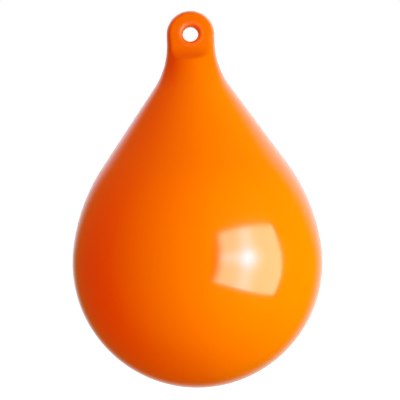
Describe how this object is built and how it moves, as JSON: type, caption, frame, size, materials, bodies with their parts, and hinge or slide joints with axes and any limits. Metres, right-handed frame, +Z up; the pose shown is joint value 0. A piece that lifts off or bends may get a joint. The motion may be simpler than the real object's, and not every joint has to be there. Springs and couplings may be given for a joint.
{
  "type": "anchor marker buoy",
  "caption": "Hollow drop-shaped plastic float with a rope eye in the lug on its neck, welded from a front and a back moulding, with a filler plug underneath.",
  "frame": {"origin": "centre of the rope eye, half-way through the lug", "axes": "+Z up from the round float to the lug, Y along the eye's hole with the front half at -Y, X across the lug"},
  "size_m": [0.1606, 0.16, 0.2423],
  "materials": {
    "orange_plastic": "glossy orange moulded polyethylene",
    "orange_weld": "orange weld bead, slightly duller than the mouldings",
    "orange_plug": "semi-gloss orange plug"
  },
  "bodies": {
    "root": {"front_half_shell": "orange_plastic", "back_half_shell": "orange_plastic", "seam_bead": "orange_weld", "filler_plug": "orange_plug"}
  },
  "joints": []
}
